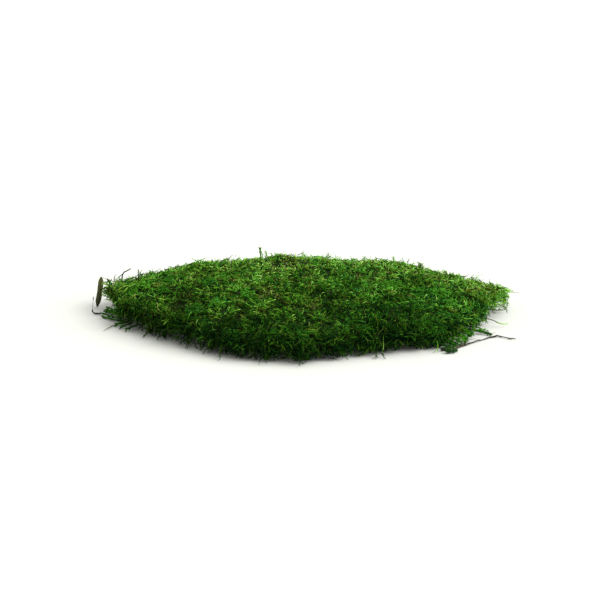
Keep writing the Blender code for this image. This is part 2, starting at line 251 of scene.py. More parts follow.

# Single sprigs and stems that stand clear: (tone, light, width, side shoots, route), in millimetres. Their
# light is a lightness that is partly painted light and shade.
SPRIGS = (
    # back rim, from left to right
    (0.88, 0.05, 1.20, 0, ((-135, 35, 17.5), (-135, 35, 22.5), (-133.5, 35, 25.5), (-131, 35, 26.5),
                           (-128, 35, 28.5))),
    (0.86, 0.05, 1.20, 0, ((-121.5, 23.5, 21), (-122, 23.5, 27), (-121.5, 23.5, 31))),
    (0.88, 0.30, 0.45, 0, ((-143, 24, 18), (-143.5, 25, 21.5), (-146, 28, 22.5), (-149, 31, 22.5))),
    (0.88, 0.35, 0.55, 0, ((-60, 65, 24), (-58, 65, 28.5), (-54, 65, 32))),
    (0.30, 0.60, 0.90, 9, ((-34, 72, 24.5), (-34, 72, 31), (-34.5, 72, 35))),
    (0.30, 0.60, 0.70, 2, ((-32.5, 67.5, 25), (-32.5, 67.5, 29.5), (-33.5, 67.5, 33.5))),
    (0.45, 0.70, 0.80, 3, ((-28.5, 70.5, 25), (-29.5, 70.5, 30), (-30, 70.5, 32.5))),
    (0.50, 0.70, 0.70, 2, ((-21.5, 72, 25.5), (-21.5, 72, 31.5))),
    (0.50, 0.75, 0.50, 0, ((-16.5, 76, 25.5), (-16.5, 76, 29), (-17, 76, 32))),
    (0.84, 0.60, 0.45, 0, ((-4, 70, 26), (-3, 70, 30), (-1.5, 70, 34))),
    (0.84, 0.55, 0.46, 1, ((19, 70.5, 25), (17.5, 70.5, 29), (15.5, 70.5, 32))),
    (0.60, 0.75, 0.50, 0, ((22, 66.5, 25.5), (23, 66.5, 29), (25, 66.5, 30.5))),
    (0.50, 0.70, 0.50, 0, ((53, 77, 22), (53, 77, 25), (52.5, 77, 27.5))),
    (0.50, 0.70, 0.60, 2, ((67, 84, 20), (67, 84, 23), (67, 84, 25.5))),
    (0.30, 0.55, 0.70, 3, ((76.5, 73.5, 20.5), (76.5, 73.5, 23), (77.5, 73.5, 25.5))),
    (0.25, 0.50, 0.80, 3, ((85, 55.5, 20.5), (85, 55.5, 23.5), (85.5, 55.5, 26))),
    # right end
    (0.90, 0.50, 0.40, 0, ((145.5, 27, 11.5), (149, 27, 13.5), (152, 27, 12), (156.5, 27, 12))),
    (0.60, 1.00, 0.80, 6, ((138, 26, 12), (142, 26.5, 14.5), (147, 26.5, 15), (151, 26.5, 14))),
    (0.55, 1.00, 0.80, 6, ((136, 20, 11), (141, 22, 13), (146, 24, 13.5), (149.5, 25, 13))),
    (0.50, 1.00, 0.80, 6, ((134, 14, 9), (139, 17, 11), (144, 20, 12), (147, 22, 11.5))),
    (0.62, 1.00, 0.80, 6, ((132, 28, 13), (137, 30, 15.5), (142, 30, 16), (145, 30, 15.5))),
    (0.60, 0.75, 0.90, 7, ((128, 0, 9), (131.5, -1, 10.5), (136, -1, 11.5), (142, -1, 12))),
    (0.88, 0.20, 0.60, 2, ((120, -16, 11), (125, -18, 12), (128.5, -19, 12.5), (133, -19, 11.5),
                           (141.5, -19, 12))),
    (0.84, 0.35, 0.90, 0, ((124, -22, 7), (131, -22, 5.5), (134.5, -22, 3.5))),
    (0.68, 0.90, 1.00, 1, ((133.5, -22, 4), (137, -22, 2.5), (142, -22, 2.5))),
    (0.35, 0.60, 1.10, 9, ((110, -38, 4), (116, -40, 3.5), (120.5, -37.5, 3), (126.5, -34.5, 1.5))),
    (0.20, 0.50, 0.90, 6, ((114, -38, 3), (120, -38, 2.5), (123.5, -39.5, 1.5), (126, -43.5, 1))),
    (0.30, 0.60, 0.90, 7, ((112, -34, 4), (118, -33, 3.5), (122, -31, 2))),
    (0.90, 0.25, 0.45, 0, ((99, -75, 1.5), (104, -68, 2), (110, -62, 1.5))),
    (0.88, 0.20, 0.45, 0, ((106, -68, 1.5), (110, -60, 2.5), (117, -53, 1))),
    (0.92, 0.35, 0.35, 0, ((126, -48.5, 1), (128, -43, 2), (132, -38, 1))),
    (0.12, 0.35, 1.20, 9, ((90, -79, 2), (96, -76, 2), (102, -71, 2), (107, -66.5, 1))),
    (0.16, 0.40, 0.90, 6, ((95, -74, 2.5), (99, -70, 2.5), (103, -66, 1.5))),
    (0.28, 0.55, 0.90, 6, ((101, -68, 2.5), (106, -64, 2.5), (110, -59, 1.5))),
    (0.16, 0.50, 1.50, 12, ((112, -40, 4), (118, -39, 3), (123, -40, 2), (127, -42.5, 1))),
    # low shoots in front of the right end, down to the long root
    (0.10, 0.30, 1.50, 16, ((88, -72, 4), (92, -74, 3), (96.5, -75.5, 1.5))),
    (0.14, 0.38, 1.50, 16, ((92, -68, 5), (96, -70, 4), (100, -71, 2))),
    (0.18, 0.45, 1.50, 16, ((95, -62, 6), (100, -64, 4.5), (104.5, -65, 2.5))),
    (0.24, 0.52, 1.40, 16, ((98, -56, 7), (104, -58, 5), (109, -59, 2.5))),
    (0.34, 0.60, 1.20, 14, ((100, -60, 6), (105, -62, 4), (108, -61, 2))),
    (0.20, 0.50, 1.40, 16, ((102, -50, 7), (108, -51, 5), (112.5, -52, 2.5))),
    (0.26, 0.58, 1.30, 14, ((105, -44, 7), (110.5, -45, 5), (115, -45.5, 3))),
    (0.12, 0.36, 1.60, 18, ((92, -64, 6), (96, -67, 4), (101, -68, 2))),
    (0.16, 0.40, 1.60, 18, ((94, -60, 7), (99, -62, 5), (103, -63, 3))),
    (0.20, 0.44, 1.50, 18, ((99, -53, 7), (105, -55, 5), (110, -56, 2.5))),
    (0.22, 0.48, 1.50, 18, ((103, -46, 7), (109, -48, 5), (113.5, -49, 3))),
    # left end, beside the sliver
    (0.58, 0.75, 1.20, 14, ((-138, 20, 16), (-142, 23, 18.5), (-145, 25.5, 19), (-147.5, 27.5, 18.5))),
    (0.72, 0.65, 1.20, 14, ((-138, 19, 13), (-142, 22, 15.5), (-145, 24.5, 16), (-148, 27, 15.5))),
    (0.50, 0.60, 1.20, 14, ((-137, 18, 11), (-141, 21, 13), (-145, 24, 14), (-148.5, 26.5, 13.5))),
    (0.45, 0.50, 1.30, 14, ((-138, 17, 15), (-141, 20, 17), (-144, 23, 17.5), (-146.5, 25, 17))),
    (0.66, 0.55, 1.30, 14, ((-138, 17, 12), (-141, 20, 14.5), (-144, 23, 15), (-147, 25, 14.5))),
    (0.35, 0.45, 1.30, 14, ((-137, 15, 9), (-141, 18, 11.5), (-144, 21, 12.5), (-147.5, 24, 12.5))),
    (0.55, 0.65, 1.10, 10, ((-139, 23, 19), (-142, 26, 20), (-144.5, 28, 20), (-146.5, 29, 19.5))),
    (0.62, 0.85, 1.00, 12, ((-134, 14, 8), (-139, 18, 9.5), (-144, 21, 10.5), (-148.5, 24, 11.5))),
    (0.60, 0.80, 1.00, 12, ((-132, 9, 7), (-136, 13, 8), (-140, 17, 8.5), (-144.5, 20, 9))),
    (0.20, 0.35, 1.20, 7, ((-139, 22, 17), (-142.5, 25, 20), (-144, 27, 21.5))),
    # left end, over the floor
    (0.22, 0.66, 1.40, 14, ((-130, -8, 4), (-136, -1, 3.5), (-140, 6, 3), (-144.5, 13, 2))),
    (0.16, 0.56, 1.40, 14, ((-130, -11, 3), (-136, -6, 2.5), (-141, 1, 2), (-147, 9, 1.5))),
    (0.14, 0.56, 1.30, 12, ((-129, -13, 2), (-136, -9, 2), (-141, -4, 1.5), (-145.5, 1, 1))),
    (0.20, 0.66, 1.40, 14, ((-131, -4, 5), (-137, 7, 4), (-141, 14, 3.5), (-144.5, 20, 3))),
    (0.18, 0.58, 1.50, 18, ((-131, -6, 4), (-136, 2, 3.5), (-140, 9, 3), (-144, 15, 2.5))),
    (0.12, 0.52, 1.50, 18, ((-131, -3, 3), (-136, 4, 3), (-141, 10, 2.5), (-146, 13, 2))),
    (0.25, 0.60, 1.20, 12, ((-124, -15, 3), (-129, -18, 2.5), (-134, -20, 1.5))),
    (0.15, 0.55, 1.30, 12, ((-122, -20, 3), (-126, -24, 2.5), (-130, -27, 1.5))),
    (0.15, 0.45, 1.30, 12, ((-118, -26, 3), (-122, -30, 2.5), (-125.5, -33, 1.5))),
    (0.88, 0.20, 0.50, 0, ((-131, -12, 1.5), (-137, -7, 1), (-142, -3, 1), (-146, 0, 0.5))),
    # strands hanging down the front
    (0.34, 0.70, 0.60, 0, ((-30, -84, 14), (-28, -92, 10), (-24.5, -94, 5), (-21.5, -95, 2))),
    (0.40, 0.80, 0.70, 1, ((-5.5, -84, 16), (-5.5, -94, 9), (-7.5, -98, 4), (-9.5, -99, 1.5))),
    (0.84, 0.60, 0.50, 0, ((36, -78, 11), (37.5, -85, 8), (42, -87, 4), (46, -88, 1.5))),
    (0.66, 0.90, 0.60, 0, ((54.5, -74, 19), (51, -86, 12), (51.5, -89, 6), (50, -90, 1.5))),
    (0.55, 0.70, 0.80, 2, ((84, -62, 10), (87.5, -74, 7), (88.5, -80, 3), (85, -85, 1))),
    (0.60, 0.75, 0.60, 1, ((76, -66, 10), (77, -76, 6), (78, -79, 1.5))),
)


# ---------------------------------------------------------------- settings

COLOUR = {"subtype": "COLOR", "size": 3, "min": 0.0, "max": 1.0}


class MossSettings(bpy.types.PropertyGroup):
    """Sizes and colours of the living and dead shoots."""

    shoot_length: FloatProperty(
        name="Shoot length", description="Length of a feathered shoot",
        default=0.0088, min=0.002, max=0.03, unit="LENGTH")
    shoot_width: FloatProperty(
        name="Shoot width", description="Width of a feathered shoot's stem with its leaves",
        default=0.00092, min=0.0002, max=0.004, unit="LENGTH")
    feathered_count: IntProperty(
        name="Feathered shoots", description="How many feathered shoots are planted",
        default=9600, min=100, max=20000)
    curled_count: IntProperty(
        name="Curled shoots", description="How many short curled shoots fill the gaps",
        default=7500, min=0, max=20000)
    strand_count: IntProperty(
        name="Loose strands", description="How many long strands lie over the mat",
        default=1000, min=0, max=5000)
    hanging_count: IntProperty(
        name="Hanging strands", description="How many thin strands hang down the sides",
        default=1500, min=0, max=5000)
    upright_count: IntProperty(
        name="Upright shoots", description="How many thin shoots stand up clear, most along the back",
        default=1500, min=0, max=5000)
    cushion_density: FloatProperty(
        name="Cushion density", description="Shoots in a cushion for each square millimetre of its reaches",
        default=3.4, min=0.0, max=20.0)
    wiry_count: IntProperty(
        name="Dead stems", description="How many bare brown stems show between the shoots",
        default=240, min=0, max=2000)
    fringe_per_tuft: IntProperty(
        name="Fringe shoots", description="How many shoots straggle out of each tuft of the edge",
        default=3, min=0, max=10)
    deep_green: FloatVectorProperty(
        name="Deep green", description="Wet shade of the moss", default=(0.008, 0.044, 0.016), **COLOUR)
    leaf_green: FloatVectorProperty(
        name="Leaf green", description="Grown shoots", default=(0.026, 0.119, 0.009), **COLOUR)
    fresh_green: FloatVectorProperty(
        name="Fresh green", description="This year's shoots", default=(0.070, 0.224, 0.020), **COLOUR)
    yellow_green: FloatVectorProperty(
        name="Yellow green", description="Dry shoots in full light", default=(0.138, 0.280, 0.042), **COLOUR)
    olive: FloatVectorProperty(
        name="Olive", description="Fading shoots", default=(0.080, 0.122, 0.017), **COLOUR)
    brown: FloatVectorProperty(
        name="Brown", description="Dead shoots", default=(0.040, 0.044, 0.009), **COLOUR)
    straw: FloatVectorProperty(
        name="Straw", description="Bleached stems", default=(0.230, 0.290, 0.100), **COLOUR)


class LitterSettings(bpy.types.PropertyGroup):
    """Colours of the litter at the edge of the mat."""

    bark_colour: FloatVectorProperty(
        name="Bark", description="Inner face of the sliver of bark", default=(0.018, 0.021, 0.006), **COLOUR)
    root_colour: FloatVectorProperty(
        name="Root", description="Skin of the loose roots", default=(0.017, 0.014, 0.009), **COLOUR)
    stalk_colour: FloatVectorProperty(
        name="Stalk", description="Bleached stalk", default=(0.085, 0.088, 0.045), **COLOUR)
    fragment_colour: FloatVectorProperty(
        name="Fragment", description="Felt of the loose fragment of moss", default=(0.012, 0.036, 0.010),
        **COLOUR)


class StageSettings(bpy.types.PropertyGroup):
    """Floor, light and camera."""

    floor_colour: FloatVectorProperty(
        name="Floor", description="Colour of the floor", default=(0.488, 0.497, 0.458), **COLOUR)
    back_power: FloatProperty(
        name="Back light", description="Strength of the soft light from behind and above",
        default=0.6, min=0.0, max=50.0)
    main_power: FloatProperty(
        name="Main light", description="Strength of the wide light from the right and above",
        default=5.2, min=0.0, max=50.0)
    sky_strength: FloatProperty(
        name="Fill", description="Strength of the even light all round", default=1.15, min=0.0, max=5.0)
    camera_elevation: FloatProperty(
        name="Camera elevation", description="Height of the camera above the horizon",
        default=math.radians(15.5), min=0.0, max=math.pi / 2, subtype="ANGLE")
    camera_distance: FloatProperty(
        name="Camera distance", description="From the lens to the middle of the mat",
        default=1.15, min=0.3, max=5.0, unit="LENGTH")


def moss():
    return bpy.context.scene.moss_clump


# ---------------------------------------------------------------- meshes

def mm(place):
    """A place that is given in millimetres."""
    return Vector(place) * MM


def clamped(value, low=0.0, high=1.0):
    return min(max(value, low), high)


def mesh_from(bm, name, material=None, smooth=True):
    """A mesh of what a bmesh holds, which is freed."""
    mesh = bpy.data.meshes.new(name)
    bm.to_mesh(mesh)
    bm.free()
    mesh.polygons.foreach_set("use_smooth", [smooth] * len(mesh.polygons))
    if material:
        mesh.materials.append(material)
    return mesh


def tree_of(bm):
    """The search tree of a bmesh, which is freed."""
    tree = BVHTree.FromBMesh(bm)
    bm.free()
    return tree


def add_to_scene(name, data):
    made = bpy.data.objects.new(name, data)
    bpy.context.scene.collection.objects.link(made)
    return made


def add_piece(name, mesh):
    """Adds a finished piece of the clump, which rides on the clump's only body."""
    piece = add_to_scene(name, mesh)
    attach(piece, "root")
    return piece


def numbers(items, field, width=1, kind=np.float32):
    """One field of every item, as an array."""
    found = np.empty(len(items) * width, kind)
    items.foreach_get(field, found)
    return found.reshape(-1, width) if width > 1 else found


def merged_copy(node):
    """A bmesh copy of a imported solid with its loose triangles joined."""
    bm = bmesh.new()
    bm.from_mesh(frame["nodes"][node].data)
    bmesh.ops.remove_doubles(bm, verts=bm.verts, dist=0.01 * MM)
    bm.normal_update()
    return bm


def smoothed(bm, rounds):
    for _ in range(rounds):
        bmesh.ops.smooth_vert(bm, verts=bm.verts, factor=0.5, use_axis_x=True, use_axis_y=True,
                              use_axis_z=True)
    bm.normal_update()


def skin_of_mat():
    """The mat with its tufts smoothed away and a skin drawn over their tips, as a bmesh."""
    bm = merged_copy("moss_mat")
    packed = [vert.co.copy() for vert in bm.verts]
    smoothed(bm, TUFT_ROUNDS)
    tips = KDTree(len(packed))
    heights = []
    for vert, place in zip(bm.verts, packed):
        height = (place - vert.co).dot(vert.normal)
        if height > LOW_TUFT:
            tips.insert(vert.co, len(heights))
            heights.append(min(height, HIGH_TUFT))
    tips.balance()
    rises = []
    for vert in bm.verts:
        near = tips.find_n(vert.co, TUFTS_AROUND)
        rises.append(sum(heights[index] for _, index, _ in near) / len(near))
    for vert, rise in zip(bm.verts, rises):
        if vert.normal.z > UNDERSIDE:
            vert.co += vert.normal * rise
        for middle, radius, push in CRESTS:
            share = math.exp(-((vert.co - mm(middle)).length / (radius * MM)) ** 2)
            vert.co += mm(push) * share * max(vert.normal.z, 0.0) ** 0.5
    smoothed(bm, 1)
    return bm


# ---------------------------------------------------------------- shoots

def new_shoot_mesh():
    bm = bmesh.new()
    bm.verts.layers.float.new("level")
    bm.verts.layers.float.new("across")
    return bm


def grow_shoot(bm, route, radii, light_from, light_to, sides=3):
    """Grows a shoot along a route: rings by extrusion, gathered to a tip at the end."""
    level = bm.verts.layers.float["level"]
    across = bm.verts.layers.float["across"]
    heading = (route[1] - route[0]).normalized()
    turn = heading.to_track_quat("Z", "Y")
    place = Matrix.LocRotScale(route[0], turn, Vector((1, 1, 1)) * radii[0])
    made = bmesh.ops.create_circle(bm, cap_ends=True, segments=sides, radius=1.0, matrix=place)
    face = made["verts"][0].link_faces[0]
    for index, vert in enumerate(face.verts):
        vert[level] = light_from
        vert[across] = index / (sides - 1)
    last = len(route) - 1
    for step in range(1, last + 1):
        ahead = (route[min(step + 1, last)] - route[step - 1]).normalized()
        turn = heading.rotation_difference(ahead) @ turn
        heading = ahead
        radius = radii[min(step, last - 1)]
        new_place = Matrix.LocRotScale(route[step], turn, Vector((1, 1, 1)) * radius)
        grown = bmesh.ops.extrude_face_region(bm, geom=[face])["geom"]
        if step > 1:
            bmesh.ops.delete(bm, geom=[face], context="FACES_ONLY")
        face = next(item for item in grown if isinstance(item, bmesh.types.BMFace))
        bmesh.ops.transform(bm, matrix=new_place @ place.inverted(), verts=face.verts)
        place = new_place
        # Lighter from foot to tip: the older stem, and painted shade down among the shoots.
        for vert in face.verts:
            vert[level] = light_from + (light_to - light_from) * (step / last) ** 0.8
    bmesh.ops.pointmerge(bm, verts=face.verts[:], merge_co=route[-1])


def winding_route(start, heading, length, steps, sideways, downwards):
    """Points of a shoot that sets off along heading and turns by these angles over its whole length."""
    ahead = heading.normalized()
    points = [start.copy()]
    for _ in range(steps):
        points.append(points[-1] + ahead * (length / steps))
        side = UP.cross(ahead)
        side = side.normalized() if side.length > 0.05 else Vector((0, 1, 0))
        ahead = Quaternion(UP, sideways / steps) @ Quaternion(side, downwards / steps) @ ahead
    return points


def lifted(angle):
    """The way along +X, raised by this angle."""
    return Vector((math.cos(angle), 0.0, math.sin(angle)))


def feathered_shoot(rng, length, width, branches, lift, over, base=FOOT_LIGHT):
    """A shoot with side shoots left and right. It sets off along +X, rising by lift, and arches over."""
    bm = new_shoot_mesh()
    steps = 3
    stem = winding_route(Vector(), lifted(lift), length, steps, rng.uniform(-0.9, 0.9), over)
    half = width * 0.58
    grow_shoot(bm, stem, [half * 0.7, half, half * 0.9], base, TIP_LIGHT)
    for index in range(branches):
        share = 0.22 + 0.72 * (index + rng.uniform(0.1, 0.9)) / branches
        at = share * steps
        low = int(at)
        start = stem[low].lerp(stem[low + 1], at - low)
        ahead = (stem[low + 1] - stem[low]).normalized()
        hand = 1 if index % 2 else -1
        beside = Quaternion(ahead, rng.gauss(0.0, 0.5)) @ UP
        heading = Quaternion(beside, math.radians(rng.uniform(30, 68)) * hand) @ ahead
        heading.z += rng.uniform(-0.2, 0.5)
        reach = length * rng.uniform(0.28, 0.46) * (1.15 - 0.5 * share)
        bends = 2 if index < branches - 3 else 1
        route = winding_route(start, heading, reach, bends, -hand * rng.uniform(0.2, 1.5),
                              rng.uniform(-0.5, 1.4))
        thick = half * rng.uniform(0.68, 0.88)
        # Side shoots lower down start darker: partly painted shade among the shoots.
        light = base + (0.60 - base) * share
        grow_shoot(bm, route, [thick * 0.75, thick][-bends:], light, min(light + 0.45, 1.0))
    return bm


def curled_shoot(rng, length, width, base=FOOT_LIGHT):
    """One short shoot that rolls over towards its tip."""
    bm = new_shoot_mesh()
    half = width * 0.55
    route = winding_route(Vector(), lifted(rng.uniform(0.5, 1.2)), length, 3, rng.uniform(-1.8, 1.8),
                          rng.uniform(0.4, 2.2))
    grow_shoot(bm, route, [half * 0.8, half, half * 0.9], base, TIP_LIGHT)
    return bm


def upright_shoot(rng, length, width):
    """A thin shoot that stands up clear of the others, with its tip just bent over."""
    bm = new_shoot_mesh()
    half = width * 0.5
    route = winding_route(Vector(), lifted(rng.uniform(1.1, 1.5)), length, 3, rng.uniform(-1.0, 1.0),
                          rng.uniform(0.1, 0.9))
    grow_shoot(bm, route, [half, half, half * 0.8], 0.35, 1.0)
    return bm


def loose_strand(rng, length, width):
    """A long thin strand that winds along +X."""
    bm = new_shoot_mesh()
    steps = 6
    points = [Vector()]
    ahead = lifted(rng.uniform(0.2, 0.6))
    bend = rng.uniform(-0.5, 0.5)
    for _ in range(steps):
        points.append(points[-1] + ahead * (length / steps))
        bend = 0.5 * bend + rng.uniform(-0.35, 0.35)
        ahead = Quaternion(UP, bend) @ ahead
        ahead.z += rng.uniform(-0.28, 0.14)
        ahead.normalize()
    half = width * 0.5
    radii = [half * (0.70 + 0.40 * math.sin(math.pi * (step / steps) ** 0.8)) for step in range(steps)]
    grow_shoot(bm, points, radii, 0.25, 1.0)
    return bm


def sprig(rng, points, width, branches, base):
    """A stem along a route of its own, rounded off, with side shoots all round."""
    bm = new_shoot_mesh()
    route = [points[0]]
    for first, second in zip(points, points[1:]):
        route += [first.lerp(second, 0.25), first.lerp(second, 0.75)]
    route.append(points[-1])
    half = width * 0.5
    last = len(route) - 1
    grow_shoot(bm, route, [half * (1.0 - 0.3 * step / last) for step in range(last)], base, 1.0)
    for index in range(branches):
        at = last * (0.35 + 0.6 * (index + rng.random()) / branches)
        low = min(int(at), last - 1)
        start = route[low].lerp(route[low + 1], at - low)
        ahead = (route[low + 1] - route[low]).normalized()
        beside = Quaternion(ahead, rng.uniform(0, math.tau)) @ ahead.orthogonal()
        heading = Quaternion(beside, math.radians(rng.uniform(20, 48))) @ ahead
        reach = rng.uniform(1.6, 3.2) * MM
        side = winding_route(start, heading, reach, 2, rng.uniform(-0.6, 0.6), rng.uniform(-0.3, 0.5))
        grow_shoot(bm, side, [half * 0.6, half * 0.8], base, 1.0)
    return bm


# ---------------------------------------------------------------- the mat's skin, its patches and tufts

class Skin:
    """Places on the skin over the tips of the tufts, drawn evenly by area."""

    def __init__(self):
        bm = skin_of_mat()
        bmesh.ops.triangulate(bm, faces=bm.faces)
        self.points = np.array([v.co[:] for v in bm.verts])
        self.normals = np.array([v.normal[:] for v in bm.verts])
        self.faces = np.array([[v.index for v in f.verts] for f in bm.faces])
        corners = self.points[self.faces]
        cross = np.cross(corners[:, 1] - corners[:, 0], corners[:, 2] - corners[:, 0])
        length = np.linalg.norm(cross, axis=1)
        self.areas = length / 2
        self.facing = cross / np.maximum(length, 1e-12)[:, None]
        self.middles = corners.mean(axis=1)
        self.drawn = tree_of(bm)
        self.packed = tree_of(merged_copy("moss_mat"))

    def draw(self, count, rng, weights):
        """(points, normals) of places drawn evenly over the skin, weighted by face."""
        share = np.cumsum(self.areas * weights)
        wanted = (np.arange(count) + rng.random(count)) / count * share[-1]
        face = np.searchsorted(share, wanted).clip(0, len(share) - 1)
        a, b = rng.random(count), rng.random(count)
        over = a + b > 1
        a[over], b[over] = 1 - a[over], 1 - b[over]
        weight = np.stack([1 - a - b, a, b], 1)[:, :, None]
        points = (self.points[self.faces[face]] * weight).sum(1)
        normals = (self.normals[self.faces[face]] * weight).sum(1)
        return points, normals / np.linalg.norm(normals, axis=1, keepdims=True)

    def outside(self, point):
        near, normal = self.drawn.find_nearest(point)[:2]
        return (point - near).dot(normal) > 0.0

    def hollow(self, point, normal):
        """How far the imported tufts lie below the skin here, at most the depth that shoots fill."""
        found = self.packed.ray_cast(point + normal * 2 * MM, -normal, 9 * MM)
        return clamped(found[3] - 2 * MM, 0.0, HOLLOW_DEPTH) if found[0] else 1.5 * MM


def in_room(point, rooms):
    return any((point - mm(middle)).length < radius * MM for middle, radius in rooms)


def on_cushion(point):
    away = (np.array(point) / MM - CUSHION_MIDDLES) / CUSHION_REACHES
    return bool((np.sum(away * away, axis=1) < 1.0).any())


def patchy(point, scale, offset=0.0):
    """Smooth noise of about -1 to 1 with patches of this size."""
    return noise.noise(Vector(point) / scale + Vector((offset, 3.1 * offset, -offset)))


def tuft_of(point):
    """(middle, three random shares) of the tuft that a point belongs to."""
    middle = noise.voronoi(Vector(point) / TUFT_SPACING)[1][0]
    return middle * TUFT_SPACING, noise.cell_vector(middle * 997.0)


def patch_shift(point):
    """(tone, lightness) that the mat's patches add at a point; the lightness is partly painted light and
    shade.
    """
    tone = light = 0.0
    x, y, z = (value / MM for value in point)
    for middle, (along, deep), tone_shift, light_shift in PATCHES:
        away = ((x - middle[0]) / along) ** 2 + ((y - middle[1]) / deep) ** 2 + ((z - middle[2]) / along) ** 2
        if away < PATCH_END:
            share = math.exp(-away)
            tone += tone_shift * share
            light += light_shift * share
    return tone, light


def tone_at(point, own, rng, steep=0.0):
    """Where a shoot lies between deep green and straw: broad patches, its tuft's and its own."""
    broad = patchy(point, 0.026, 11.0)
    small = patchy(point, 0.009, 5.0)
    fading = patchy(point, 0.018, 31.0) + 0.6 * patchy(point, 0.008, 17.0)
    tone = MIDDLE_TONE + 0.10 * broad + 0.18 * small + 0.30 * (own - 0.5) + rng.gauss(0, 0.21)
    # Yellower towards the back and the left; the steep sides lean to deep green, partly their older shoots
    # and partly painted shade.
    tone += 0.08 * point[1] / REACH_Y - 0.05 * point[0] / REACH_X - 0.20 * steep + 1.3 * patch_shift(point)[0]
    if fading > FADING_FROM:
        tone += min((fading - FADING_FROM) * 1.3, 0.36)
    if rng.random() < DEAD_SHARE:
        tone = rng.uniform(0.68, 1.0 - 0.25 * steep)
    return clamped(max(tone, 0.18 - 0.24 * steep), 0.02, 0.98)


def side_shade(normal):
    """How much painted shade a steep side gets: most where it faces away from the light."""
    return SIDE_SHADE * (0.62 - 0.38 * normal.dot(LIT_SIDE))


# ---------------------------------------------------------------- planting

def height_of(bm):
    """How high a shape rises above its root."""
    return max(vert.co.z for vert in bm.verts)


def stray_way(rng, rise=0.0, height=1.0):
    """A random way to go: even all round, with this mean rise and this much change of height."""
    return Vector((rng.gauss(0, 1), rng.gauss(0, 1), rng.gauss(rise, height)))


def turn_of(heading, up):
    """Euler angles that lay a shape's +X along heading, with its +Z near up."""
    side = up.cross(heading)
    if side.length < 1e-4:
        side = Vector((0, 1, 0)).cross(heading)
    side.normalize()
    return Matrix((heading, side, heading.cross(side))).transposed().to_euler("XYZ")


def places_on_skin(skin, shapes, count, seed, rise, weights, stray=0.8, light=0.82, fall=1.6, side=1.0,
                   clear=4.5 * MM):
    """Roots count shoots below the skin, so that each tops out at the tufts' own surface plus rise.

    stray is how far they turn from their tuft's way, fall how they hang on steep sides, side how much
    painted shade those get, and clear how far in front of their roots they keep off the cushions.
    """
    rng = random.Random(seed)
    heights = [height_of(shape) for shape in shapes]
    points, normals = skin.draw(count, np.random.default_rng(seed), weights)
    places = []
    for point, normal in zip(points, normals):
        point, normal = Vector(point), Vector(normal)
        if in_room(point, CORNER_ROOMS):
            continue
        middle, own = tuft_of(point)
        outward = point - middle
        outward -= normal * outward.dot(normal)
        common = Vector((math.cos(own.x * math.tau), math.sin(own.x * math.tau), 0.0))
        heading = outward.normalized() * 0.7 + common * 0.7 + stray_way(rng) * stray
        steep = 1.0 - max(normal.z, 0.0)
        heading.z -= steep * rng.uniform(0.0, fall)
        heading -= normal * heading.dot(normal)
        heading = heading.normalized() + normal * rng.gauss(0.0, 0.16)
        heading.normalize()
        if clear and (on_cushion(point) or on_cushion(point + heading * clear)):
            continue
        size = rng.uniform(0.72, 1.22) * (0.84 - 0.1 * min(steep, 0.5))
        pick = rng.randrange(len(shapes))
        hollow = skin.hollow(point, normal)
        top = rng.uniform(*rise) - 0.95 * hollow
        root = point + normal * (top - heights[pick] * size)
        if skin.outside(root):
            continue
        root.z = max(root.z, 0.4 * MM)
        # Lightness: random by tuft and in noise patches, plus painted light towards the back and the right
        # end, the patches' partly painted lightness, and painted shade in the hollows between tufts and on
        # the low steep sides.
        shade = light + 0.72 * (own.z - 0.5) + 0.66 * patchy(point, 0.013, 21.0) + rng.gauss(0, 0.13)
        shade += 0.28 * patchy(point, 0.032, 41.0) + 0.46 * point.y / REACH_Y
        shade += PATCH_LIGHT * patch_shift(point)[1] + 0.20 * max(point.x / REACH_X, -0.2)
        shade -= 0.32 * hollow / HOLLOW_DEPTH
        shade -= side * side_shade(normal) * steep * (1.0 - min(point.z / SHOULDER_HEIGHT, 1.0) * 0.5)
        places.append((root[:], turn_of(heading, normal)[:], size, pick, tone_at(point, own.y, rng, steep),
                       clamped(shade)))
    return places


def planting_tree():
    """Geometry nodes that put the picked shoot on every point and make it real."""
    tree = bpy.data.node_groups.new("Plant shoots", "GeometryNodeTree")
    tree.interface.new_socket("Points", in_out="INPUT", socket_type="NodeSocketGeometry")
    tree.interface.new_socket("Shoots", in_out="INPUT", socket_type="NodeSocketCollection")
    tree.interface.new_socket("Mesh", in_out="OUTPUT", socket_type="NodeSocketGeometry")
    given = tree.nodes.new("NodeGroupInput").outputs
    shoots = add_node(tree, "GeometryNodeCollectionInfo", {
        "Collection": given["Shoots"], "Separate Children": True, "Reset Children": True})
    pick, turn, size = (
        add_node(tree, "GeometryNodeInputNamedAttribute", {"Name": name}, data_type=kind).outputs["Attribute"]
        for name, kind in (("pick", "INT"), ("turn", "FLOAT_VECTOR"), ("size", "FLOAT"))
    )
    plant = add_node(tree, "GeometryNodeInstanceOnPoints", {
        "Points": given["Points"], "Instance": shoots.outputs[0], "Pick Instance": True,
        "Instance Index": pick, "Rotation": turn, "Scale": size})
    real = add_node(tree, "GeometryNodeRealizeInstances", {"Geometry": plant.outputs["Instances"]})
    add_node(tree, "NodeGroupOutput", {"Mesh": real.outputs["Geometry"]})
    return tree


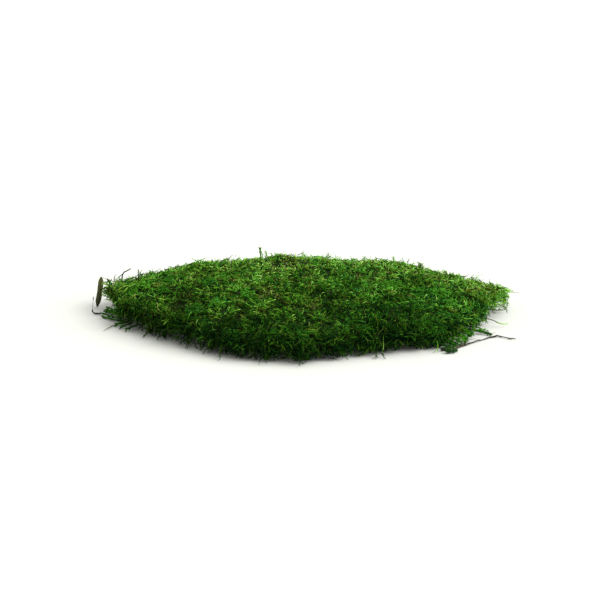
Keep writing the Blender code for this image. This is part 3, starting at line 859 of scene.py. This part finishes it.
def plant_shoots(name, shapes, places):
    """One piece with a shoot at every place. A place is (point, turn, size, pick, tone, light)."""
    shelf = bpy.data.collections.new(name + "_shapes")
    for index, bm in enumerate(shapes):
        mesh = mesh_from(bm.copy(), f"{name}_shape_{index:03d}")
        shelf.objects.link(bpy.data.objects.new(mesh.name, mesh))
    points = bpy.data.meshes.new(name + "_points")
    points.vertices.add(len(places))
    points.vertices.foreach_set("co", np.array([p[0] for p in places], np.float32).ravel())
    for attribute, kind, field, column in (
        ("turn", "FLOAT_VECTOR", "vector", 1), ("size", "FLOAT", "value", 2),
        ("pick", "INT", "value", 3), ("tone", "FLOAT", "value", 4), ("light", "FLOAT", "value", 5),
    ):
        layer = points.attributes.new(attribute, kind, "POINT")
        values = np.array([p[column] for p in places], np.int32 if kind == "INT" else np.float32)
        layer.data.foreach_set(field, values.ravel())
    ground = add_to_scene(name, points)
    modifier = ground.modifiers.new("Plant", "NODES")
    tree = planting_tree()
    modifier.node_group = tree
    modifier["Socket_1"] = shelf
    graph = bpy.context.evaluated_depsgraph_get()
    mesh = bpy.data.meshes.new_from_object(ground.evaluated_get(graph))
    bpy.data.objects.remove(ground)
    bpy.data.node_groups.remove(tree)
    for obj in list(shelf.objects):
        bpy.data.objects.remove(obj)
    bpy.data.collections.remove(shelf)
    mesh.name = name
    write_colour_map(mesh)
    mesh.materials.clear()
    mesh.materials.append(shoot_material())
    lift_to_floor(mesh)
    return add_piece(name, mesh)


def write_colour_map(mesh):
    """Lays every corner on the colour map: tone across, lightness up, and the lightness holds painted light
    and shade.
    """
    vertex = numbers(mesh.loops, "vertex_index", kind=np.int32)
    tone, light, level, across = (
        numbers(mesh.attributes[name].data, "value") for name in ("tone", "light", "level", "across")
    )
    u = tone + MAP_SIDE_SPREAD * (across - 0.5)
    v = level * (0.35 + 0.65 * light)
    layer = mesh.uv_layers.new(name=MAP_NAME)
    places = np.stack([u, v], 1)[vertex].clip(0.002, 0.998).astype(np.float32)
    layer.uv.foreach_set("vector", places.ravel())
    for name in ("tone", "light", "level", "across"):
        mesh.attributes.remove(mesh.attributes[name])


def lift_to_floor(mesh):
    """Presses what would go through the floor flat on it."""
    places = numbers(mesh.vertices, "co", 3)
    places[:, 2] = np.maximum(places[:, 2], 0.25 * MM)
    mesh.vertices.foreach_set("co", places.ravel())
    mesh.update()


# ---------------------------------------------------------------- materials

def add_node(tree, kind, inputs, **settings):
    """A node with its settings made and its inputs set. An input that is given a socket is linked to it."""
    node = tree.nodes.new(kind)
    for name, value in settings.items():
        setattr(node, name, value)
    for name, value in inputs.items():
        if isinstance(value, bpy.types.NodeSocket):
            tree.links.new(value, node.inputs[name])
        else:
            node.inputs[name].default_value = value
    return node


def ramp(tree, place, stops):
    """The colour socket of a ramp through these (place, colour) stops."""
    node = add_node(tree, "ShaderNodeValToRGB", {"Fac": place})
    band = node.color_ramp
    while len(band.elements) < len(stops):
        band.elements.new(0.5)
    for element, (at, colour) in zip(band.elements, stops):
        element.position = at
        element.color = (*colour, 1.0)
    return node.outputs["Color"]


def new_material(name, roughness, specular):
    """(material, its node tree, its shader's inputs)"""
    material = bpy.data.materials.new(name)
    material.use_nodes = True
    shader = material.node_tree.nodes["Principled BSDF"]
    shader.inputs["Roughness"].default_value = roughness
    shader.inputs["Specular IOR Level"].default_value = specular
    return material, material.node_tree, shader.inputs


def shoot_material():
    """Colour by the piece's own map: tone across, lightness up, the lightness holding painted light and
    shade. All shoots share it.
    """
    made = bpy.data.materials.get("moss shoots")
    if made:
        return made
    material, tree, shader = new_material("moss shoots", 0.7, 0.0)
    settings = moss()
    place = add_node(tree, "ShaderNodeUVMap", {}, uv_map=MAP_NAME)
    split = add_node(tree, "ShaderNodeSeparateXYZ", {"Vector": place.outputs["UV"]})
    colours = (settings.deep_green, settings.leaf_green, settings.fresh_green, settings.yellow_green,
               settings.olive, settings.brown, settings.straw)
    tones = ramp(tree, split.outputs["X"], list(zip(TONE_STOPS, colours)))
    lights = ramp(tree, split.outputs["Y"], LIGHT_STOPS)
    blend = add_node(tree, "ShaderNodeMix", {"Factor": 1.0, "A": tones, "B": lights}, data_type="RGBA",
                     blend_type="MULTIPLY")
    tree.links.new(blend.outputs["Result"], shader["Base Color"])
    return material


def grain_group():
    """Node group of the uneven grain and bump that the felt, bark, roots, stalk and loose scrap share."""
    made = bpy.data.node_groups.get("grain")
    if made:
        return made
    tree = bpy.data.node_groups.new("grain", "ShaderNodeTree")
    for name, side, kind in (
        ("Scale", "INPUT", "Vector"), ("Roughness", "INPUT", "Float"), ("Rise", "INPUT", "Float"),
        ("Depth", "INPUT", "Float"), ("Grain", "OUTPUT", "Float"), ("Normal", "OUTPUT", "Vector"),
    ):
        tree.interface.new_socket(name, in_out=side, socket_type="NodeSocket" + kind)
    given = tree.nodes.new("NodeGroupInput").outputs
    place = tree.nodes.new("ShaderNodeTexCoord").outputs["Object"]
    stretched = add_node(tree, "ShaderNodeMapping", {"Vector": place, "Scale": given["Scale"]})
    grain = add_node(tree, "ShaderNodeTexNoise", {
        "Vector": stretched.outputs["Vector"], "Scale": 1.0, "Detail": 6.0, "Roughness": given["Roughness"]})
    height = add_node(tree, "ShaderNodeSeparateXYZ", {"Vector": place})
    paler = add_node(tree, "ShaderNodeMath", {
        0: height.outputs["Z"], 1: given["Rise"], 2: grain.outputs["Fac"]}, operation="MULTIPLY_ADD")
    bump = add_node(tree, "ShaderNodeBump", {
        "Strength": 0.8, "Distance": given["Depth"], "Height": grain.outputs["Fac"]})
    add_node(tree, "NodeGroupOutput", {"Grain": paler.outputs["Value"], "Normal": bump.outputs["Normal"]})
    return tree


def grained(made, stops, scale, fibre=1.0, rise=0.0, depth=0.2 * MM, roughness=0.5):
    """Gives a new material a grain through these stops, drawn out along the height by fibre.

    rise is how much paler it gets upwards, and depth how deep its bumps are.
    """
    material, tree, shader = made
    grain = add_node(tree, "ShaderNodeGroup", {}, node_tree=grain_group())
    for name, value in (
        ("Scale", (scale, scale, scale / fibre)), ("Roughness", roughness), ("Rise", rise), ("Depth", depth),
    ):
        grain.inputs[name].default_value = value
    tree.links.new(ramp(tree, grain.outputs["Grain"], stops), shader["Base Color"])
    tree.links.new(grain.outputs["Normal"], shader["Normal"])
    return material


def felt_material():
    """Felt of old stems: dark brown and dull green, with fine fibres."""
    return grained(new_material("old moss felt", 0.9, 0.0), FELT_STOPS, 260.0, depth=0.4 * MM, roughness=0.7)


def litter_material(name, colour, dark, pale, scale, fibre=1.0, rise=0.0):
    """Bark, root, stalk or loose moss: four steps of one colour, from dark to pale."""
    stops = [(at, tuple(c * factor for c in colour))
             for at, factor in zip((0.36, 0.47, 0.55, 0.66), (dark, 0.8, 1.3, pale))]
    return grained(new_material(name, 0.75, 0.15), stops, scale, fibre, rise)


# ---------------------------------------------------------------- operators

class MOSS_OT_bed(bpy.types.Operator):
    """Make the felt of old stems that the shoots grow from"""

    bl_idname = "moss.bed"
    bl_label = "Felt of old stems"

    def execute(self, context):
        bm = skin_of_mat()
        for vert in bm.verts:
            lump = FELT_LUMPS * patchy(vert.co, 0.011, 3.0)
            depth = FELT_SINK - lump if vert.normal.z > -0.4 else 0.6 * MM
            vert.co -= vert.normal * depth
            vert.co.z = max(vert.co.z, 0.0)
        bed = add_piece("felt_of_old_stems", mesh_from(bm, "felt_of_old_stems", felt_material()))
        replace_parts(bed, "moss_mat")
        return {"FINISHED"}


class MOSS_OT_shoots(bpy.types.Operator):
    """Plant the shoots that cover the mat"""

    bl_idname = "moss.shoots"
    bl_label = "Shoots"

    def execute(self, context):
        settings = moss()
        length, width = settings.shoot_length, settings.shoot_width
        skin = Skin()
        upward = skin.facing[:, 2]
        weights = np.where(upward > -0.35, 1.0, np.where(skin.middles[:, 2] > 1 * MM, 0.6, 0.0))
        rng = random.Random(SEED)
        arching = [feathered_shoot(rng, length, width, 6, rng.uniform(0.6, 1.15), rng.uniform(0.9, 1.8))
                   for _ in range(8)]
        rising = [feathered_shoot(rng, length, width, 6, rng.uniform(0.9, 1.25), rng.uniform(0.0, 0.8))
                  for _ in range(5)]
        shapes = arching + rising
        places = places_on_skin(skin, shapes, settings.feathered_count, SEED + 1, (-0.6 * MM, 0.9 * MM),
                                weights)
        places.sort(key=lambda place: place[0][0])
        parts = ("left", "mid_left", "mid_right", "right")
        share = math.ceil(len(places) / len(parts))
        for index, part in enumerate(parts):
            plant_shoots("feathered_shoots_" + part, shapes, places[index * share:(index + 1) * share])
        shapes = [curled_shoot(rng, length * 0.60, width) for _ in range(10)]
        places = places_on_skin(skin, shapes, settings.curled_count, SEED + 2, (-0.8 * MM, 0.8 * MM),
                                weights, stray=1.2, clear=3.0 * MM)
        plant_shoots("curled_shoots", shapes, places)
        return {"FINISHED"}


def rim_tips():
    """(tip, way out, is it a single long shoot) of every packed tuft on the sides of the mat."""
    bm = merged_copy("moss_mat")
    packed = [vert.co.copy() for vert in bm.verts]
    smoothed(bm, TUFT_ROUNDS)
    found = []
    for vert, place in zip(bm.verts, packed):
        out = place - vert.co
        if vert.normal.z < 0.86 and out.dot(vert.normal) > 0.9 * MM and place.z > 0.3 * MM:
            found.append((place, (out.normalized() + vert.normal).normalized(), out.length > LONG_SHOOT))
    bm.free()
    return found


class MOSS_OT_fringe(bpy.types.Operator):
    """Grow the shoots that straggle out of the edge, over the floor and at the corners"""

    bl_idname = "moss.fringe"
    bl_label = "Fringe"

    def execute(self, context):
        settings = moss()
        rng = random.Random(SEED + 9)
        shapes = [feathered_shoot(rng, settings.shoot_length, settings.shoot_width * 0.66, 3,
                                  rng.uniform(-0.1, 0.5), rng.uniform(-0.5, 1.2), base=0.32)
                  for _ in range(10)]
        reach = [max(vert.co.x for vert in shape.verts) for shape in shapes]
        skin = tree_of(skin_of_mat())
        per_tuft = settings.fringe_per_tuft
        places = []
        for tip, out, long in rim_tips():
            along = Vector((-out.y, out.x, 0.0)).normalized()
            low = 1.0 - min(tip.z / SHOULDER_HEIGHT, 1.0)
            back_rim = out.y > 0.1 and tip.z > RIM_HEIGHT
            crested = math.exp(-((tip.x - CREST_X) / (20 * MM)) ** 2)
            for turn in range(0 if long else per_tuft + round(3 * low)):
                pick = rng.randrange(len(shapes))
                size = rng.uniform(0.6, 1.15)
                heading = out * rng.uniform(0.1, 1.0) + along * rng.gauss(0, 0.8)
                heading.z += rng.gauss(-0.35, 0.45)
                if tip.z < NEAR_FLOOR:
                    heading.z = min(heading.z, 0.15)
                if back_rim:
                    heading.z = 0.7 * abs(heading.z) + 0.25
                    size *= 0.80
                heading.normalize()
                outwards = 0.5 if out.y > -0.2 else 0.5 - 1.0 * low
                end = tip + (out * (outwards - abs(rng.gauss(0, 1.5))) + along * rng.gauss(0, 1.8)) * MM
                end.z += (rng.uniform(-0.6, 1.6 + 1.2 * crested) if back_rim else rng.gauss(0, 1.0)) * MM
                if turn >= per_tuft:
                    end -= out * 1.0 * MM
                    end.z *= rng.uniform(0.1, 0.8)
                near, normal = skin.find_nearest(end)[:2]
                if back_rim and (end - near).dot(normal) > RIM_CLEAR or in_room(end, ROOMS):
                    continue
                root = end - heading * reach[pick] * size
                root.z = max(root.z, 0.5 * MM)
                up = UP if abs(heading.z) < 0.8 else out.orthogonal()
                own = tuft_of(end)[1]
                # Lightness: painted shade on low sides facing away from the light, painted light towards the
                # right end, the back and on the back rim, and the patches' partly painted lightness.
                shade = 0.67 - side_shade(out) * (0.22 + 0.55 * low) + 0.30 * (own.z - 0.5)
                shade += 0.30 * tip.x / REACH_X + 0.10 * tip.y / REACH_Y + rng.gauss(0, 0.16)
                shade += 0.25 if back_rim else 0.0
                shade += PATCH_LIGHT * patch_shift(tip)[1]
                places.append((root[:], turn_of(heading, up)[:], size, pick, tone_at(end, own.y, rng, low),
                               clamped(shade)))
        plant_shoots("fringe_shoots", shapes, places)
        return {"FINISHED"}


class MOSS_OT_sprigs(bpy.types.Operator):
    """Grow the single sprigs, stems and long shoots that stand clear of the mat"""

    bl_idname = "moss.sprigs"
    bl_label = "Sprigs"

    def execute(self, context):
        rng = random.Random(SEED + 11)
        shapes, places = [], []

        def grow(points, width, branches, tone, light, base=0.5):
            places.append(((0.0, 0.0, 0.0), (0.0, 0.0, 0.0), 1.0, len(shapes), tone, light))
            shapes.append(sprig(rng, points, width, branches, base))

        for tone, light, width, branches, route in SPRIGS:
            grow([mm(point) for point in route], width * MM, branches, tone, light)
        taken = [mm(point) for *_, route in SPRIGS for point in route]
        skin = tree_of(skin_of_mat())
        for tip, out, long in rim_tips():
            beside_sliver = tip.x <= LEFT_CORNER_X
            if not long or beside_sliver or min((tip - point).length for point in taken) <= 5 * MM:
                continue
            if tip.z < NEAR_FLOOR:
                tip = tip - out * 1.5 * MM
            near, normal = skin.find_nearest(tip)[:2]
            root = near - normal * 2.0 * MM
            # Lightness: painted light higher up, towards the right end and past the right corner, and painted
            # shade on sides facing away from the light.
            light = 0.55 + 0.35 * min(tip.z / SHOULDER_HEIGHT, 1.0) + 0.3 * tip.x / REACH_X
            light -= 0.6 * side_shade(out) - max(tip.x - RIGHT_CORNER_X, 0.0) * 8.0
            on_rim = out.y > 0.0 and tip.z > RIM_HEIGHT
            if on_rim:
                tip = near.lerp(tip, 0.55)
            for _ in range(2):
                bow = stray_way(rng, 0.5) * 1.2 * MM
                end = tip + stray_way(rng, height=0.6) * 0.9 * MM
                end.z = max(end.z, 0.6 * MM)
                hook = end + Vector((rng.gauss(0, 1), rng.gauss(0, 1), 0.3 if on_rim else -1.0)) * 1.0 * MM
                hook.z = max(hook.z, 0.6 * MM)
                # Sprigs on the back rim get more painted light.
                if on_rim:
                    grow([root, root.lerp(end, 0.5) + bow * 0.5, end, hook], 0.50 * MM, 1,
                         rng.uniform(0.35, 0.70), min(light + 0.2, 1.0))
                else:
                    grow([root, root.lerp(end, 0.5) + bow, end, hook], 0.55 * MM, 4,
                         rng.uniform(0.10, 0.62), clamped(light + rng.gauss(-0.15, 0.1)), 0.25)
        plant_shoots("sprigs", shapes, places)
        return {"FINISHED"}


class MOSS_OT_strands(bpy.types.Operator):
    """Lay loose strands, hanging strands, upright shoots and bare dead stems over the mat"""

    bl_idname = "moss.strands"
    bl_label = "Strands and dead stems"

    def execute(self, context):
        settings = moss()
        skin = Skin()
        rng = random.Random(SEED + 5)
        backward, upward = skin.facing[:, 1], skin.facing[:, 2]
        calm = np.where(upward > -0.2, np.where(upward < 0.85, 1.0, 0.4), 0.0)
        calm = np.where(backward > 0.06, calm * 0.15, calm)
        steep = np.where((upward < 0.75) & (upward > -0.3), 1.0, 0.04)
        back = np.where(upward > 0.4, 0.2, 0.0) * (1.0 + 5.0 * (skin.middles[:, 1] > 0.050))

        shapes = [loose_strand(rng, *LOOSE_STRAND) for _ in range(10)]
        places = places_on_skin(skin, shapes, settings.strand_count, SEED + 6, (0.0 * MM, 1.4 * MM), calm,
                                stray=2.0, light=0.76)
        plant_shoots("loose_strands", shapes, places)

        shapes = [loose_strand(rng, *HANGING_STRAND) for _ in range(10)]
        places = places_on_skin(skin, shapes, settings.hanging_count, SEED + 8, (0.2 * MM, 1.6 * MM), steep,
                                stray=1.2, light=0.87, fall=3.0, side=0.55)
        places = [(*place[:4], rng.uniform(0.06, 0.62), place[5]) for place in places]
        plant_shoots("hanging_strands", shapes, places)

        shapes = [upright_shoot(rng, settings.shoot_length * 0.7, UPRIGHT_WIDTH) for _ in range(8)]
        places = places_on_skin(skin, shapes, settings.upright_count, SEED + 12, (0.3 * MM, 2.0 * MM), back)
        plant_shoots("upright_shoots", shapes, places)

        shapes = [loose_strand(rng, *DEAD_STEM) for _ in range(8)]
        places = places_on_skin(skin, shapes, settings.wiry_count, SEED + 7, (0.0 * MM, 1.5 * MM), calm,
                                stray=3.0)
        places = [(*place[:4], rng.uniform(0.74, 0.95), rng.uniform(0.2, 0.7)) for place in places]
        plant_shoots("dead_stems", shapes, places)
        return {"FINISHED"}


class MOSS_OT_cushions(bpy.types.Operator):
    """Plant the small cushions of finer, brighter moss"""

    bl_idname = "moss.cushions"
    bl_label = "Cushions"

    def execute(self, context):
        skin = Skin()
        rng = random.Random(SEED + 20)
        shapes = [curled_shoot(rng, *CUSHION_SHOOT, base=0.40) for _ in range(8)]
        places = []
        for middle, (along, deep), tone, light in CUSHIONS:
            away = (skin.middles / MM - middle) / (along, deep, along)
            weights = np.where(np.linalg.norm(away, axis=1) < 1.0, 1.0, 0.0)
            count = round(moss().cushion_density * along * deep)
            for place in places_on_skin(skin, shapes, count, SEED + 21 + len(places),
                                        (-0.2 * MM, 1.0 * MM), weights, stray=1.2, clear=0.0):
                places.append((*place[:4], tone + rng.gauss(0, 0.05), clamped(light + rng.gauss(0, 0.12))))
        plant_shoots("cushions", shapes, places)
        return {"FINISHED"}


def knotted_branch():
    """The short packed root with its faces split up and its skin swollen unevenly into knots."""
    bm = merged_copy("root_branch")
    bmesh.ops.subdivide_edges(bm, edges=bm.edges, cuts=2, use_grid_fill=True)
    bm.normal_update()
    for vert in bm.verts:
        swell = patchy(vert.co, 0.0030, 7.0) + 0.5 * patchy(vert.co, 0.0012, 9.0)
        vert.co += vert.normal * KNOT_SWELL * swell
        vert.co.z = max(vert.co.z, 0.2 * MM)
    return bm


def splintered_sliver():
    """The sliver of bark: a thin lath drawn to a point at its foot, with a torn grain."""
    bm = bmesh.new()
    bmesh.ops.create_cube(bm, size=1.0)
    bmesh.ops.subdivide_edges(bm, edges=bm.edges, cuts=15, use_grid_fill=True)
    width, thickness, length = SLIVER_SIZE
    for vert in bm.verts:
        across, deep, up = vert.co.x, vert.co.y, vert.co.z + 0.5
        taper = min(0.25 + 4.5 * up, 1.0, 0.35 + 4.5 * (1.0 - up))
        tear = patchy(Vector((across * 5.0, 0.0, up)), 0.6, 3.0) * 0.06 * (abs(up - 0.5) * 2.0) ** 6
        fibre = 0.30 * patchy(Vector((across * 9.0, deep, up * 1.5)), 1.0, 5.0)
        edge = 0.08 * patchy(Vector((math.copysign(1.0, across), 0.0, up * 7.0)), 1.0, 9.0)
        vert.co = Vector((
            across * width * taper * (1.0 + edge) + 0.5 * MM * math.sin(up * 2.6),
            (deep + fibre) * thickness + 0.5 * MM * math.sin(up * 3.0) + 1.2 * MM * across * across,
            (up + tear) * length,
        ))
    lean = Euler(SLIVER_LEAN).to_matrix().to_4x4()
    bmesh.ops.transform(bm, matrix=Matrix.Translation(SLIVER_FOOT) @ lean, verts=bm.verts)
    bm.normal_update()
    return bm


def thin_root(route, radii):
    """A root or stalk along a route of its own: thin, with knots where its radius swells."""
    bm = new_shoot_mesh()
    grow_shoot(bm, [mm(point) for point in route], [radius * MM for radius in radii], 0.0, 1.0, sides=6)
    for name in ("level", "across"):
        bm.verts.layers.float.remove(bm.verts.layers.float[name])
    return bm


def cover_fragment():
    """Small shoots over the loose fragment, as on the mat it fell from."""
    rng = random.Random(SEED + 15)
    shapes = [curled_shoot(rng, FRAGMENT_SHOOT_LENGTH, moss().shoot_width * 0.7) for _ in range(6)]
    bm = merged_copy("moss_fragment")
    places = []
    for vert in bm.verts:
        if vert.co.z < 0.9 * MM:
            continue
        way = stray_way(rng, height=0.4)
        heading = (way - vert.normal * way.dot(vert.normal) * 0.6).normalized()
        root = vert.co - vert.normal * 0.7 * MM - heading * 0.8 * MM
        root.z = max(root.z, 0.5 * MM)
        places.append((root[:], turn_of(heading, vert.normal)[:], rng.uniform(0.7, 1.1),
                       rng.randrange(len(shapes)), rng.uniform(0.02, 0.4), rng.uniform(0.1, 0.8)))
    bm.free()
    plant_shoots("fragment_shoots", shapes, places)


class MOSS_OT_litter(bpy.types.Operator):
    """Make the sliver, the roots, the stalk and the fragment as they lie at the edge of the mat"""

    bl_idname = "moss.litter"
    bl_label = "Litter"

    def execute(self, context):
        litter = context.scene.moss_litter
        bark = litter_material("bark sliver", litter.bark_colour, 0.3, 3.6, 1800.0, fibre=9.0, rise=10.0)
        # The pale flecks of the root skin are painted highlights.
        root = litter_material("root skin", litter.root_colour, 0.4, 9.0, 700.0)
        straw = litter_material("bleached stalk", litter.stalk_colour, 0.5, 1.8, 900.0)
        green = litter_material("moss fragment", litter.fragment_colour, 0.3, 2.0, 900.0)
        for name, bm, material, slot, node in (
            ("sliver_of_bark", splintered_sliver(), bark, "bark", "bark_sliver"),
            ("knotted_root_branch", knotted_branch(), root, "root", "root_branch"),
            ("thin_root_left", thin_root(ROOT_LEFT_ROUTE, ROOT_LEFT_RADII), root, "root", "root_left"),
            ("thin_root_right", thin_root(ROOT_RIGHT_ROUTE, ROOT_RIGHT_RADII), root, "root", "root_right"),
            ("thin_stalk_left", thin_root(STALK_ROUTE, STALK_RADII), straw, "straw", "stalk_left"),
        ):
            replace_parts(add_piece(name, mesh_from(bm, name, material)), node)
        fragment = frame["nodes"]["moss_fragment"].data
        fragment.materials.clear()
        fragment.materials.append(green)
        cover_fragment()
        return {"FINISHED"}


def lay_floor(stage):
    bm = bmesh.new()
    bmesh.ops.create_grid(bm, x_segments=1, y_segments=1, size=FLOOR_REACH)
    material, _, shader = new_material("studio floor", 0.9, 0.0)
    shader["Base Color"].default_value = (*stage.floor_colour, 1.0)
    add_to_scene("floor", mesh_from(bm, "floor", material, smooth=False))


def hang_light(name, strength, spread, place):
    """A wide light that shines from place towards the middle of the mat."""
    light = bpy.data.lights.new(name, "SUN")
    light.energy = strength
    light.angle = math.radians(spread)
    lamp = add_to_scene(name, light)
    lamp.location = place
    lamp.rotation_euler = (-Vector(place)).to_track_quat("-Z", "Y").to_euler()


def fill_room(stage):
    """Even light all round, with a plain white backdrop for the camera."""
    world = bpy.data.worlds.new("studio")
    world.use_nodes = True
    bpy.context.scene.world = world
    tree = world.node_tree
    fill = tree.nodes["Background"]
    fill.inputs["Color"].default_value = WHITE
    fill.inputs["Strength"].default_value = stage.sky_strength
    backdrop = add_node(tree, "ShaderNodeBackground", {"Color": WHITE, "Strength": BACKDROP_STRENGTH})
    path = tree.nodes.new("ShaderNodeLightPath")
    choose = add_node(tree, "ShaderNodeMixShader", {
        "Fac": path.outputs["Is Camera Ray"], 1: fill.outputs["Background"],
        2: backdrop.outputs["Background"]})
    tree.links.new(choose.outputs["Shader"], tree.nodes["World Output"].inputs["Surface"])


def place_camera(stage):
    lens = bpy.data.cameras.new("camera")
    lens.lens = LENS_LENGTH
    lens.sensor_width = LENS_SENSOR
    lens.shift_x, lens.shift_y = LENS_SHIFT
    lens.dof.use_dof = False
    camera = add_to_scene("camera", lens)
    ahead = Vector((0, math.cos(stage.camera_elevation), -math.sin(stage.camera_elevation)))
    camera.location = CAMERA_AIM - ahead * stage.camera_distance
    camera.rotation_euler = ahead.to_track_quat("-Z", "Y").to_euler()
    bpy.context.scene.camera = camera


class MOSS_OT_stage(bpy.types.Operator):
    """Set the floor, the light and the camera"""

    bl_idname = "moss.stage"
    bl_label = "Stage"

    def execute(self, context):
        stage = context.scene.moss_stage
        lay_floor(stage)
        hang_light("main_light", stage.main_power, *MAIN_LIGHT)
        hang_light("back_light", stage.back_power, *BACK_LIGHT)
        fill_room(stage)
        place_camera(stage)
        context.scene.view_settings.view_transform = "Standard"
        return {"FINISHED"}


class MOSS_PT_panel(bpy.types.Panel):
    """Lists the steps that build the clump, and its settings"""

    bl_idname = "MOSS_PT_panel"
    bl_label = "Moss clump"
    bl_space_type = "VIEW_3D"
    bl_region_type = "UI"
    bl_category = "Moss"

    def draw(self, context):
        for step in STEPS:
            self.layout.operator(step.bl_idname)
        for group, name in SETTINGS:
            box = self.layout.box()
            for setting in group.__annotations__:
                box.prop(getattr(context.scene, name), setting)


SETTINGS = (
    (MossSettings, "moss_clump"), (LitterSettings, "moss_litter"), (StageSettings, "moss_stage"),
)
STEPS = (
    MOSS_OT_bed, MOSS_OT_shoots, MOSS_OT_fringe, MOSS_OT_sprigs, MOSS_OT_strands, MOSS_OT_cushions,
    MOSS_OT_litter, MOSS_OT_stage,
)


def register():
    for group, name in SETTINGS:
        bpy.utils.register_class(group)
        setattr(bpy.types.Scene, name, PointerProperty(type=group))
    for cls in (*STEPS, MOSS_PT_panel):
        bpy.utils.register_class(cls)


def unregister():
    for cls in reversed((*STEPS, MOSS_PT_panel)):
        bpy.utils.unregister_class(cls)
    for group, name in reversed(SETTINGS):
        delattr(bpy.types.Scene, name)
        bpy.utils.unregister_class(group)


def main():
    register()
    bpy.ops.moss.bed()
    bpy.ops.moss.shoots()
    bpy.ops.moss.fringe()
    bpy.ops.moss.sprigs()
    bpy.ops.moss.strands()
    bpy.ops.moss.cushions()
    bpy.ops.moss.litter()
    bpy.ops.moss.stage()


if __name__ == "__main__":
    main()
